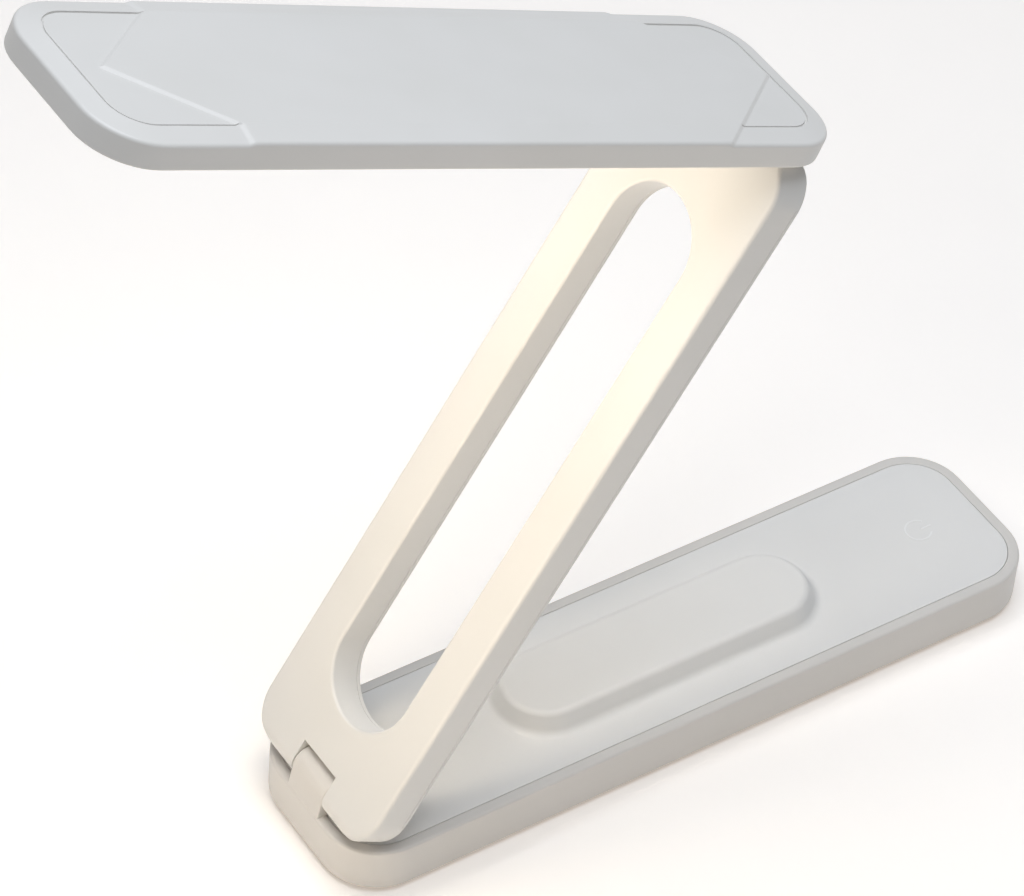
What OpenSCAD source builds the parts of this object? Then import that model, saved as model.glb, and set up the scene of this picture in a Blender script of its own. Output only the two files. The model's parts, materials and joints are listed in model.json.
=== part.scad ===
// Folding desk lamp: a flat base, a slotted arm and a flat light head, joined by two friction hinges.
// The arm lies on the base and the head lies on the arm when the lamp is folded up.
// Frame: origin at the centre of the anti-slip pad's face, +X away from the lower hinge, +Z up.

/* [Pose] */
// Angle of the arm above the base
arm_angle = 58.3; // [30:0.1:80]
// Angle of the head above the level, rising towards its free end
head_tilt = 23.0; // [0:0.5:40]

/* [Base] */
// Length of the base
base_len = 241; // [238:0.5:241.5]
// Width shared by the base, the arm and the head
body_w = 60; // [58:0.5:64]
// Height of the base's rim and deck above the table
base_h = 16.6; // [16:0.1:18]
// Corner radius of the base seen from above
base_corner_r = 17.5; // [16:0.5:20]
// Width of the rim around the deck
rim_w = 3.5; // [3:0.1:4]
// Height of the battery hump above the deck
hump_h = 6.1; // [5.9:0.1:7]
// Length of the battery hump where it meets the deck
hump_len = 109; // [100:1:130]
// Width of the battery hump where it meets the deck
hump_w = 31.2; // [30:0.1:31.6]
// Width of the flat top of the battery hump
hump_top_w = 26.8; // [26:0.1:27.6]

/* [Arm] */
// Distance between the two hinge axes
arm_span = 227.8; // [227.6:0.1:230]
// Thickness of the arm
arm_t = 11.4; // [11:0.1:12]
// Corner radius of the arm seen square to its face
arm_corner_r = 14; // [12:0.5:16]
// Width of the slot through the arm
slot_w = 32.6; // [32.4:0.1:34]
// Distance from the lower end of the arm to the slot
slot_margin_low = 26.9; // [26:0.1:30]
// Distance from the upper end of the arm to the slot
slot_margin_high = 29.8; // [26:0.1:32]

/* [Head] */
// Length of the head
head_len = 239.5; // [236:0.5:246]
// Height of the head at its shoulder, without the raised panel
head_h = 8.6; // [8.4:0.1:10]
// Corner radius of the head seen from above
head_corner_r = 16.5; // [16:0.5:18]
// How far the head reaches past its hinge axis
head_overhang = 11; // [10.8:0.1:12.5]
// Rise of the raised middle panel on top of the head
panel_rise = 0.6; // [0.5:0.1:1.2]

/* [Hinges] */
// Distance from the end of the base to the lower hinge axis
hinge_inset = 7.3; // [7.2:0.1:7.6]
// Gap left between the folded parts
fold_gap = 0.6; // [0.5:0.1:1]
// Width of the hinge knuckles
knuckle_w = 16; // [14:0.5:17]
// Diameter of the hollow hinge pins
pin_d = 5; // [4.8:0.1:5.2]
// Running clearance around each pin, on the radius
pin_clear = 0.05; // [0.03:0.01:0.08]

/* [Hidden] */
$fn = 64;
eps = 0.01;

// Base levels
pad_proud = 0.8;
pad_sunk = 0.6;
pad_inset = 6;
floor_t = 1.8;
floor_top = pad_proud + floor_t;
tray_wall = 2.4;
ledge_w = 5;
ledge_t = 1.8;
deck_t = 2.2;
deck_under = base_h - deck_t;
seam = 0.2;
edge_soft = 0.8;
bottom_soft = 2;
end_x = base_len / 2;

// Hinge places
hinge_x = -end_x + hinge_inset;
hinge_z = base_h + fold_gap + arm_t / 2;
arm_r = arm_t / 2;
head_drop = arm_r + fold_gap;
notch_gap = 0.4;
notch_w = knuckle_w + 2 * notch_gap;
notch_depth = arm_r + 0.7;
pin_r = pin_d / 2;
pin_bore_r = 1.6;
pin_half = 22;
press_clear = 0.02;
bush_r = 4;
bush_len = 12;
bush_start = notch_w / 2 + 0.2;
lug_reach = 6.6;
lug_half_t = 1.4;
lug_len = 3.4;
key_u = 5;
key_r = 0.8;
lead_r = 1.1;

// Screw and post places in the base
post_x = 98;
post_y = 19;
post_r = 3;
standoff_r = 4;
standoff_top = 5;
post_hole_top = 13.2;
screw_r = 0.98;
screw_pilot_r = 1;
screw_head_r = 2.2;
screw_seat = 3.6;
cover_screw_head_r = 1.9;
cover_screw_head_t = 0.8;
cover_screw_seat = 0.9;
cover_screw_hole_r = 1.25;
board_screw_inset = 3;

// Battery
cell_r = 9.1;
cell_len = 65;
cell_z = floor_top + 0.3 + cell_r;
cradle_half_len = 37;
cradle_half_w = 11.2;
cradle_top = 8;

// Control board
board_x0 = 66;
board_x1 = end_x - 3.3;
board_half_w = 15;
board_z = 5.3;
board_t = 1.6;
board_top = board_z + board_t;
icon_x = end_x - 24.5;
icon_r = 4.2;
// Charger chip, coil, controller, sensor chip and lead connector: place on the board, then size
components = [[[9, -10], [5, 4, 1]], [[10, 4], [7, 7, 3]], [[19, -9], [6, 6, 1.2]],
              [[36, 6], [4, 4, 1]], [[4, -3], [4, 6, 2.4]]];
usb_w = 8.94;
usb_h = 3.2;
usb_z = board_top + usb_h / 2 + 0.05;
usb_depth = 7.3;
light_y = 9.5;
light_r = 1.2;

// Arm
arm_wall = 1.8;
cover_t = 1.6;
cover_start = 7;
corner_spare = 0.4;
rail_post_y = 25.9;
rail_post_r = 2.5;
rail_lead_y = 20.3;
lead_way = 3.2;
slot_chamfer = 1;

// Head, along its own axis: the tip is on the -X side of the hinge axis
head_tip = head_overhang - head_len;
head_mid = (head_overhang + head_tip) / 2;
head_wall = 1.8;
head_floor = head_drop;
head_top = head_drop + head_h;
head_shoulder_soft = 2;
head_bottom_soft = 0.8;
bezel_t = 1.8;
bezel_top = head_floor + bezel_t;
window_len = 188;
window_w = 40;
window_r = 10;
flange = 1.4;
head_post_y = 24.6;
head_post_r = 2.4;
led_board_len = 180;
led_board_w = 30;
led_board_z = head_top - head_wall - 1.1;
led_cols = 12;
led_rows = 2;
led_pitch = 14.6;
led_row_gap = 14;
panel_tip_gap = 13;
panel_hinge_gap = 9.2;
panel_slant = 38;
panel_bevel = 0.5;
band_w = 6.6;

// Colours
shell_white = [0.93, 0.92, 0.9];
deck_white = [0.88, 0.87, 0.85];
grey_pad = [0.45, 0.45, 0.46];
steel = [0.72, 0.73, 0.75];
acetal = [0.2, 0.2, 0.22];

// ---------- shared shapes ----------

// Rectangle with round corners, centred
module round_rect(l, w, r) {
    square([l - 2 * r, w], center = true);
    square([l, w - 2 * r], center = true);
    for (sx = [-1, 1], sy = [-1, 1])
        translate([sx * (l / 2 - r), sy * (w / 2 - r)]) circle(r);
}

// Slot outline with round ends, centred, l over all
module stadium(l, w) {
    square([l - w, w], center = true);
    for (s = [-1, 1]) translate([s * (l - w) / 2, 0]) circle(w / 2);
}

// Half section of a plate: r wide, h high, outer edge rounded by rb below and rt above
module edge_section(r, h, rb, rt) {
    difference() {
        square([r, h]);
        translate([r - rb, 0]) square([rb, rb]);
        translate([r - rt, h - rt]) square([rt, rt]);
    }
    intersection() {
        square([r, h]);
        union() {
            translate([r - rb, rb]) circle(rb);
            translate([r - rt, h - rt]) circle(rt);
        }
    }
}

// Plate with round corners in plan and rounded lower and upper edges, standing on z = 0
module soft_plate(l, w, r, h, rb, rt) {
    cx = l / 2 - r;
    cy = w / 2 - r;
    translate([-cx, -cy, 0]) cube([2 * cx, 2 * cy, h]);
    for (k = [0:3]) {
        px = (k == 0 || k == 3) ? cx : -cx;
        py = (k < 2) ? cy : -cy;
        translate([px, py, 0]) rotate([0, 0, 90 * k]) rotate_extrude(angle = 90)
            edge_section(r, h, rb, rt);
    }
    for (s = [0, 180]) rotate([0, 0, s]) {
        translate([cx, cy, 0]) rotate([90, 0, 0]) linear_extrude(2 * cy)
            edge_section(r, h, rb, rt);
        translate([-cx, cy, 0]) rotate([90, 0, 90]) linear_extrude(2 * cx)
            edge_section(r, h, rb, rt);
    }
}

// A half section carried round a slot-shaped path whose end centres are c2c apart
module stadium_sweep(c2c) {
    for (s = [0, 180]) rotate([0, 0, s]) {
        translate([c2c / 2, 0, 0]) rotate([0, 0, -90]) rotate_extrude(angle = 180) children();
        translate([-c2c / 2, 0, 0]) rotate([90, 0, 90]) linear_extrude(c2c) children();
    }
}

// Cylinder along Y from y0 to y1
module y_rod(r, y0, y1) {
    translate([0, y0, 0]) rotate([-90, 0, 0]) cylinder(r = r, h = y1 - y0);
}

// Cylinder along X from x0 to x1
module x_rod(r, x0, x1) {
    translate([x0, 0, 0]) rotate([0, 90, 0]) cylinder(r = r, h = x1 - x0);
}

// Unit vector, and the direction of a route at its k-th point
function unit(v) = v / norm(v);
function route_dir(p, k) =
    k == 0 ? unit(p[1] - p[0])
    : k == len(p) - 1 ? unit(p[k] - p[k - 1])
    : unit(unit(p[k + 1] - p[k]) + unit(p[k] - p[k - 1]));

// Vectors square to the route at each of its points, carried along without twist
function route_sides(p, k, last) =
    let (d = route_dir(p, k), side = unit(last - (last * d) * d))
    k == len(p) - 1 ? [side] : concat([side], route_sides(p, k + 1, side));

// Insulated lead through the points given
module lead(p) {
    n = 8;
    sides = route_sides(p, 0, unit([0.3, 0.2, 1]));
    rings = [for (k = [0:len(p) - 1], j = [0:n - 1])
        p[k] + lead_r * (cos(360 * j / n) * sides[k]
                         + sin(360 * j / n) * cross(route_dir(p, k), sides[k]))];
    last = (len(p) - 1) * n;
    faces = concat(
        [[for (j = [0:n - 1]) j]],
        [[for (j = [n - 1:-1:0]) last + j]],
        [for (k = [0:len(p) - 2], j = [0:n - 1])
            [k * n + j, (k + 1) * n + j, (k + 1) * n + (j + 1) % n, k * n + (j + 1) % n]]);
    polyhedron(rings, faces, convexity = 4);
}

// Screw with its axis along Z, the head's seat at z = 0 and the shank upwards
module screw_up(head_r, head_t, shank_r, shank_l) {
    difference() {
        translate([0, 0, -head_t]) cylinder(r = head_r, h = head_t);
        for (a = [0, 90]) rotate([0, 0, a]) translate([0, 0, -head_t])
            cube([head_r * 1.2, 0.45, head_t], center = true);
    }
    cylinder(r = shank_r, h = shank_l);
}

// Counterbored hole for a cover's screw, entered from below at z = 0
module cover_screw_hole() {
    translate([0, 0, -1]) cylinder(r = cover_screw_hole_r, h = 4);
    translate([0, 0, -1]) cylinder(r = cover_screw_head_r + 0.2, h = 1 + cover_screw_seat);
}

// Places of the parts that move
module arm_frame() {
    translate([hinge_x, 0, hinge_z]) rotate([0, -arm_angle, 0]) children();
}

module head_frame() {
    translate([hinge_x + arm_span * cos(arm_angle), 0, hinge_z + arm_span * sin(arm_angle)])
        rotate([0, head_tilt, 0]) children();
}

// ---------- base ----------

// Plan of the inside of the base at a given distance from its outer face
module base_plan(inset) {
    round_rect(base_len - 2 * inset, body_w - 2 * inset, base_corner_r - inset);
}

// Knuckle section in the X-Z plane, about the hinge axis, with its web down to the tray
module lower_knuckle_section() {
    translate([hinge_x, hinge_z]) circle(arm_r);
    translate([hinge_x - arm_r, deck_under - 2]) square([2 * arm_r,
                                                       hinge_z - deck_under + 2]);
}

// Places of the four screws in the corners of the base
module at_base_posts() {
    for (sx = [-1, 1], sy = [-1, 1]) translate([sx * post_x, sy * post_y, 0]) children();
}

// Places of the four screws that hold the control board
module at_board_screws() {
    for (x = [board_x0 + board_screw_inset + 1, board_x1 - 2 * board_screw_inset], sy = [-1, 1])
        translate([x, sy * (board_half_w - board_screw_inset), 0]) children();
}

module base_tray() {
    color(shell_white) difference() {
        union() {
            difference() {
                translate([0, 0, pad_proud])
                    soft_plate(base_len, body_w, base_corner_r, base_h - pad_proud,
                               bottom_soft, edge_soft);
                translate([0, 0, floor_top]) linear_extrude(deck_under - ledge_t - floor_top)
                    base_plan(tray_wall);
                translate([0, 0, floor_top]) linear_extrude(base_h) base_plan(ledge_w);
                translate([0, 0, deck_under]) linear_extrude(base_h) base_plan(rim_w);
            }
            translate([0, knuckle_w / 2, 0]) rotate([90, 0, 0]) linear_extrude(knuckle_w)
                lower_knuckle_section();
            at_base_posts() translate([0, 0, floor_top - eps])
                cylinder(r = standoff_r, h = standoff_top - floor_top + eps);
            at_board_screws() translate([0, 0, floor_top - eps])
                cylinder(r = 2.2, h = board_z - floor_top + eps);
        }
        translate([0, 0, pad_proud - eps]) linear_extrude(pad_sunk + eps) base_plan(pad_inset);
        translate([hinge_x, 0, hinge_z])
            y_rod(pin_r + press_clear, -knuckle_w / 2 - 1, knuckle_w / 2 + 1);
        translate([hinge_x, 0, floor_top]) cylinder(r = pin_bore_r, h = hinge_z - floor_top);
        at_base_posts() {
            cylinder(r = screw_head_r + 0.3, h = screw_seat);
            cylinder(r = screw_r + 0.22, h = standoff_top + 1);
        }
        at_board_screws() translate([0, 0, floor_top]) cylinder(r = screw_pilot_r, h = 4);
        translate([end_x - tray_wall - 1, 0, usb_z]) rotate([90, 0, 90])
            linear_extrude(tray_wall + 2) stadium(usb_w + 0.4, usb_h + 0.4);
        translate([0, light_y, usb_z]) x_rod(light_r + 0.03, end_x - tray_wall - 1, end_x + 1);
    }
}

// Half section of the battery hump, from its axis outwards
module hump_section(inset, top_cut, foot) {
    half_foot = hump_w / 2 - inset;
    half_top = hump_top_w / 2 - inset;
    round_top = 1.6;
    top_z = hump_h - top_cut;
    difference() {
        polygon([[0, -foot], [half_foot, -foot], [half_foot, 0], [half_top, top_z], [0, top_z]]);
        translate([half_top - round_top, top_z - round_top]) square([round_top * 3, round_top * 2]);
    }
    intersection() {
        translate([0, -foot]) square([half_foot, top_z + foot]);
        translate([half_top - round_top + 0.25, top_z - round_top]) circle(round_top);
    }
    square([half_top - round_top + 0.25, top_z]);
}

// Ring and bar sign of the touch switch, standing a little proud of the deck
module touch_sign() {
    sign_w = 0.6;
    difference() {
        cylinder(r = icon_r, h = 0.2 + eps);
        translate([0, 0, -1]) cylinder(r = icon_r - sign_w, h = 3);
        translate([0, -1.6, -1]) cube([icon_r * 2, 3.2, 3]);
    }
    translate([icon_r * 0.25, -sign_w / 2, 0]) cube([icon_r, sign_w, 0.2 + eps]);
}

module base_deck() {
    c2c = hump_len - hump_w;
    color(deck_white) difference() {
        union() {
            translate([0, 0, deck_under + eps]) linear_extrude(deck_t - eps)
                base_plan(rim_w + seam);
            translate([0, 0, base_h]) stadium_sweep(c2c) hump_section(0, 0, 1);
            translate([icon_x, 0, base_h - eps]) touch_sign();
            at_base_posts() translate([0, 0, standoff_top + 0.1])
                cylinder(r = post_r, h = deck_under - standoff_top);
        }
        translate([0, 0, base_h]) stadium_sweep(c2c) hump_section(2.4, 1.4, deck_t + 1);
        translate([-end_x, -knuckle_w / 2 - 0.3, deck_under - 1])
            cube([hinge_inset + arm_r + 0.3, knuckle_w + 0.6, deck_t + 2]);
        at_base_posts() cylinder(r = screw_pilot_r, h = post_hole_top);
    }
}

module anti_slip_pad() {
    color(grey_pad) linear_extrude(pad_proud + pad_sunk - 0.05) base_plan(pad_inset + seam);
}

module base_screws() {
    color(steel) at_base_posts() translate([0, 0, screw_seat])
        screw_up(screw_head_r, 1.3, screw_r, 8.5);
}

module battery_cell() {
    color([0.2, 0.45, 0.7]) translate([0, 0, cell_z]) {
        x_rod(cell_r, -cell_len / 2, cell_len / 2 - 0.8);
        x_rod(3, cell_len / 2 - 0.8 - eps, cell_len / 2);
    }
}

module battery_cradle() {
    inner_x = cell_len / 2 + 0.6;
    color(acetal) difference() {
        translate([-cradle_half_len, -cradle_half_w, floor_top + 0.05])
            cube([2 * cradle_half_len, 2 * cradle_half_w, cradle_top - floor_top]);
        translate([0, 0, cell_z]) x_rod(cell_r + 0.15, -inner_x, inner_x);
        translate([-inner_x, -5, 0]) cube([2 * inner_x, 10, 20]);
    }
}

module battery_tabs() {
    tab_t = 0.3;
    color(steel) for (s = [-1, 1])
        translate([s * (cell_len / 2 + 0.05 + tab_t / 2), 0, cell_z])
            cube([tab_t, 6, 10], center = true);
}

module ballast_plate() {
    color([0.5, 0.5, 0.52]) translate([-92, -20, floor_top + 0.05]) cube([48, 40, 4]);
}

module control_board() {
    color([0.1, 0.4, 0.25]) difference() {
        translate([board_x0, -board_half_w, board_z + 0.02])
            cube([board_x1 - board_x0, 2 * board_half_w, board_t - 0.02]);
        at_board_screws() cylinder(r = 1.2, h = 20);
    }
}

module board_components() {
    color([0.15, 0.15, 0.16]) for (c = components)
        translate([board_x0 + c[0].x, c[0].y, board_top + 0.02]) cube(c[1]);
}

module board_screws() {
    color(steel) at_board_screws() translate([0, 0, board_top + 0.02]) rotate([180, 0, 0])
        screw_up(1.8, 1, screw_r, 3.8);
}

module usb_port() {
    wall = 0.3;
    color(steel) translate([end_x - 0.3 - usb_depth, 0, usb_z]) rotate([90, 0, 90]) difference() {
        linear_extrude(usb_depth) stadium(usb_w, usb_h);
        translate([0, 0, 0.8]) linear_extrude(usb_depth)
            stadium(usb_w - 2 * wall, usb_h - 2 * wall);
    }
}

module usb_tongue() {
    color(acetal) translate([end_x - 0.3 - usb_depth + 0.85, -3.35, usb_z - 0.35])
        cube([usb_depth - 1.6, 6.7, 0.7]);
}

module charge_light_pipe() {
    color([0.9, 0.95, 1, 0.6]) translate([0, light_y, usb_z]) {
        x_rod(light_r, end_x - tray_wall - 0.1, end_x - 0.1);
        x_rod(light_r + 0.6, end_x - tray_wall - 0.9, end_x - tray_wall - 0.05);
    }
}

module touch_foam_post() {
    color([0.3, 0.3, 0.3]) translate([icon_x, 0, board_top + 0.02])
        cylinder(r = 4.5, h = deck_under - board_top - 0.04);
}

// Waypoints of the lead inside the base, from the board to the hollow hinge pin
base_route = [[69, 8, 8.6], [66, 11, 8.6], [62, 14, 8.6], [57, 16.5, 8.6], [40, 17.5, 8.6],
              [-40, 17.5, 8.6], [-60, 16.5, 8.6], [-80, 12, 8.6], [-96, 6, 8.6], [-108, 2, 8.8],
              [hinge_x + 1.5, 0.4, 9.6], [hinge_x, 0, 12], [hinge_x, 0, hinge_z - 1.6],
              [hinge_x, 0.4, hinge_z - 0.4], [hinge_x, 1.6, hinge_z],
              [hinge_x, pin_half, hinge_z]];

module base_lead() {
    color("white") lead(base_route);
}

// Hollow pin with a side hole for the lead; side is -1 for a hole below, 1 for a hole above
module hinge_pin(side) {
    difference() {
        y_rod(pin_r, -pin_half, pin_half);
        y_rod(pin_bore_r, -pin_half - 1, pin_half + 1);
        rotate([side < 0 ? 180 : 0, 0, 0]) cylinder(r = pin_bore_r - 0.05, h = pin_r + 1);
    }
}

module lower_hinge_pin() {
    color(steel) translate([hinge_x, 0, hinge_z]) hinge_pin(-1);
}

// ---------- arm ----------

// Two bushes about the local Y axis, with their lugs towards +X
module bush_pair() {
    for (s = [-1, 1]) mirror([0, s < 0 ? 1 : 0, 0]) difference() {
        union() {
            y_rod(bush_r, bush_start, bush_start + bush_len);
            translate([bush_r - 1.5, bush_start, -lug_half_t])
                cube([lug_reach - bush_r + 1.5, lug_len, 2 * lug_half_t]);
        }
        y_rod(pin_r + pin_clear, bush_start - 1, bush_start + bush_len + 1);
        translate([key_u, 0, 0]) y_rod(key_r + press_clear, bush_start - 1, bush_start + lug_len + 1);
    }
}

module washer_pair() {
    for (s = [-1, 1]) mirror([0, s < 0 ? 1 : 0, 0]) difference() {
        y_rod(bush_r + 0.6, knuckle_w / 2 + 0.06, knuckle_w / 2 + 0.34);
        y_rod(pin_r + 0.1, 0, knuckle_w);
    }
}

// Half width of the arm's outline at a distance from its end
function arm_half_at(from_end) =
    body_w / 2 - arm_corner_r
    + (from_end < arm_corner_r ? sqrt(pow(arm_corner_r, 2) - pow(arm_corner_r - from_end, 2))
                               : arm_corner_r);

module key_pair() {
    outer = arm_half_at(key_u + arm_r) - 0.25;
    for (s = [-1, 1]) mirror([0, s < 0 ? 1 : 0, 0])
        translate([key_u, 0, 0]) y_rod(key_r, bush_start, outer);
}

// Put children at the lower end, or turned to face back at the upper end
module at_end(upper) {
    translate([upper ? arm_span : 0, 0, 0]) mirror([upper ? 1 : 0, 0, 0]) children();
}

slot_len = arm_span + 2 * arm_r - slot_margin_low - slot_margin_high;
slot_mid = slot_margin_low - arm_r + slot_len / 2;

// Outer form of the arm, faces square to Z
module arm_form() {
    len_all = arm_span + 2 * arm_r;
    difference() {
        intersection() {
            translate([arm_span / 2, 0, -arm_r - 1]) linear_extrude(arm_t + 2)
                round_rect(len_all + 2 * corner_spare, body_w, arm_corner_r);
            translate([arm_span / 2, body_w, 0]) rotate([90, 0, 0]) linear_extrude(2 * body_w)
                stadium(len_all, arm_t);
        }
        translate([slot_mid, 0, -arm_r - 1]) linear_extrude(arm_t + 2)
            stadium(slot_len, slot_w);
        translate([slot_mid, 0, arm_r - slot_chamfer]) slot_edge_cut();
    }
}

// Chamfer around the slot's front edge
module slot_edge_cut() {
    c2c = slot_len - slot_w;
    stadium_sweep(c2c)
        polygon([[0, 0], [slot_w / 2, 0], [slot_w / 2 + slot_chamfer * 1.2, slot_chamfer * 1.2],
                 [0, slot_chamfer * 1.2]]);
}

// Places of the six screws that hold the back cover
module at_arm_posts() {
    for (u = [16, arm_span / 2, arm_span - 16], s = [-1, 1])
        translate([u, s * rail_post_y, 0]) children();
}

// Hollow of the arm behind its front face
module arm_hollow() {
    difference() {
        translate([0, 0, -arm_r - 1]) linear_extrude(arm_t + 1 - arm_wall) difference() {
            translate([10, -body_w / 2 + arm_wall]) square([arm_span - 20, body_w - 2 * arm_wall]);
            translate([slot_mid, 0])
                stadium(slot_len + 2 * arm_wall, slot_w + 2 * arm_wall);
        }
        at_arm_posts() cylinder(r = rail_post_r, h = arm_t, center = true);
    }
}

module arm_shell() {
    color(shell_white) arm_frame() difference() {
        arm_form();
        translate([cover_start, -body_w, -arm_r - 1])
            cube([arm_span - 2 * cover_start, 2 * body_w, 1 + cover_t]);
        arm_hollow();
        for (upper = [false, true]) at_end(upper) {
            translate([-arm_t, -notch_w / 2, -arm_t]) cube([arm_t + notch_depth, notch_w, 2 * arm_t]);
            y_rod(bush_r + press_clear, -pin_half - 0.2, pin_half + 0.2);
            for (s = [-1, 1]) mirror([0, s < 0 ? 1 : 0, 0]) {
                translate([0, notch_w / 2 - 1, -lug_half_t - 0.1])
                    cube([lug_reach + 0.15, lug_len + 1.4, 2 * lug_half_t + 0.2]);
                translate([key_u, 0, 0]) y_rod(key_r + press_clear, notch_w / 2, body_w);
            }
            translate([-lead_way / 2, pin_half, -lead_way / 2])
                cube([11 + lead_way / 2, lead_way, arm_r - arm_wall + lead_way / 2]);
            translate([8, rail_lead_y - 2, -lead_way / 2])
                cube([3, 7, arm_r - arm_wall + lead_way / 2]);
        }
        at_arm_posts() translate([0, 0, -arm_r]) cylinder(r = screw_pilot_r, h = 7.6);
    }
}

module arm_back_cover() {
    color(shell_white) arm_frame() difference() {
        intersection() {
            arm_form();
            translate([cover_start + seam, -body_w, -arm_r - 1])
                cube([arm_span - 2 * (cover_start + seam), 2 * body_w, 1 + cover_t - 0.04]);
        }
        at_arm_posts() translate([0, 0, -arm_r]) cover_screw_hole();
    }
}

module arm_screws() {
    color(steel) arm_frame() at_arm_posts()
        translate([0, 0, -arm_r + cover_screw_seat - 0.02])
            screw_up(cover_screw_head_r, cover_screw_head_t, screw_r, 6);
}

// Waypoints of the lead in the arm, in the arm's own frame
half_route = [[0, pin_half + 0.3, 0], [0, pin_half + 0.9, 0], [0.6, pin_half + 1.5, 1.1],
              [2, pin_half + 1.8, 2.1], [5, pin_half + 1.6, 2.6], [8, 22.8, 2.3],
              [11, 21.2, 1.6], [14, rail_lead_y, 1]];
arm_route = concat(half_route, [for (k = [len(half_route) - 1:-1:0])
    [arm_span - half_route[k][0], half_route[k][1], half_route[k][2]]]);

module arm_lead() {
    color("white") arm_frame() lead(arm_route);
}

module lower_bushes() {
    color(acetal) arm_frame() bush_pair();
}

module upper_bushes() {
    color(acetal) arm_frame() at_end(true) bush_pair();
}

module lower_washers() {
    color(steel) arm_frame() washer_pair();
}

module upper_washers() {
    color(steel) arm_frame() at_end(true) washer_pair();
}

module lower_key_pins() {
    color(steel) arm_frame() key_pair();
}

module upper_key_pins() {
    color(steel) arm_frame() at_end(true) key_pair();
}

// ---------- head ----------

module head_plan(inset) {
    translate([head_mid, 0])
        round_rect(head_len - 2 * inset, body_w - 2 * inset, head_corner_r - inset);
}

// Six-cornered outline of the raised panel; side_reach is how far it reaches towards the long sides
module panel_outline(shrink, side_reach) {
    x_tip = head_tip + panel_tip_gap + shrink;
    x_end = head_overhang - panel_hinge_gap - shrink;
    y_side = side_reach;
    polygon([[x_tip, 0], [x_tip + panel_slant, y_side], [x_end - panel_slant, y_side],
             [x_end, 0], [x_end - panel_slant, -y_side], [x_tip + panel_slant, -y_side]]);
}

// Places of the six screws of the head
module at_head_posts() {
    for (x = [head_tip + 18, head_mid, head_overhang - 18], s = [-1, 1])
        translate([x, s * head_post_y, 0]) children();
}

module head_cover() {
    panel_side = body_w / 2 - head_shoulder_soft * 0.6;
    color(shell_white) head_frame() difference() {
        union() {
            difference() {
                translate([head_mid, 0, head_floor])
                    soft_plate(head_len, body_w, head_corner_r, head_h,
                               head_bottom_soft, head_shoulder_soft);
                translate([0, 0, head_floor - 1]) linear_extrude(head_h - head_wall + 1)
                    head_plan(head_wall);
                translate([0, 0, head_top - 0.35]) linear_extrude(1) difference() {
                    head_plan(band_w);
                    head_plan(band_w + 0.6);
                }
            }
            translate([0, 0, head_top - 0.6]) linear_extrude(0.6 + panel_rise - panel_bevel)
                panel_outline(0, panel_side);
            translate([0, 0, head_top - 0.6]) linear_extrude(0.6 + panel_rise)
                panel_outline(panel_bevel * 1.6, panel_side - panel_bevel);
            at_head_posts() translate([0, 0, bezel_top + 0.05])
                cylinder(r = head_post_r, h = head_h - bezel_t - head_wall);
        }
        at_head_posts() translate([0, 0, bezel_top - 1]) cylinder(r = screw_pilot_r, h = 6.4);
    }
}

module head_bezel() {
    color(shell_white) head_frame() difference() {
        union() {
            translate([0, 0, head_floor]) linear_extrude(bezel_t) head_plan(head_wall + 0.15);
            y_rod(arm_r, -knuckle_w / 2, knuckle_w / 2);
            translate([-arm_r, -knuckle_w / 2, 0]) cube([2 * arm_r, knuckle_w, bezel_top]);
        }
        translate([head_mid, 0, head_floor - 1]) linear_extrude(bezel_t + 2)
            round_rect(window_len, window_w, window_r);
        y_rod(pin_r + press_clear, -knuckle_w, knuckle_w);
        cylinder(r = pin_bore_r, h = bezel_top + 1);
        at_head_posts() translate([0, 0, head_floor]) cover_screw_hole();
    }
}

module diffuser() {
    color([1, 0.98, 0.92]) head_frame() translate([head_mid, 0, head_floor]) {
        translate([0, 0, 0.15]) linear_extrude(bezel_t)
            round_rect(window_len - 0.3, window_w - 0.3, window_r - 0.15);
        translate([0, 0, bezel_t + 0.05]) linear_extrude(1)
            round_rect(window_len + 2 * flange, window_w + 2 * flange, window_r + flange);
    }
}

// Places of the light-emitting diodes in the head's plane
module at_leds() {
    for (c = [0:led_cols - 1], r = [0:led_rows - 1])
        translate([head_mid + (c - (led_cols - 1) / 2) * led_pitch,
                   (r - (led_rows - 1) / 2) * led_row_gap, 0]) children();
}

module reflector_sheet() {
    color("white") head_frame() translate([0, 0, led_board_z - 1.4]) difference() {
        translate([head_mid, 0, 0.25]) cube([led_board_len + 6, led_board_w + 8, 0.5], center = true);
        at_leds() cube([4.2, 3.6, 3], center = true);
    }
}

module led_board() {
    color([0.85, 0.86, 0.86]) head_frame()
        translate([head_mid - led_board_len / 2, -led_board_w / 2, led_board_z])
            cube([led_board_len, led_board_w, 1]);
}

module leds() {
    color([1, 0.93, 0.6]) head_frame() at_leds()
        translate([-1.75, -1.4, led_board_z - 0.83]) cube([3.5, 2.8, 0.8]);
}

module head_screws() {
    color(steel) head_frame() at_head_posts()
        translate([0, 0, head_floor + cover_screw_seat - 0.02])
            screw_up(cover_screw_head_r, cover_screw_head_t, screw_r, 4.8);
}

// Waypoints of the lead in the head, in the head's own frame
head_route = [[0, pin_half, 0], [0, 1.6, 0], [0, 0.4, 0.4], [0, 0, 1.6], [0, 0, 9.4],
              [-0.6, 0, 10.6], [-2.4, 0, 11.3], [-8, 0, 11.4], [-13.4, 0, 11.4]];

module head_lead() {
    color("white") head_frame() lead(head_route);
}

module upper_hinge_pin() {
    color(steel) head_frame() hinge_pin(1);
}

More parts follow.
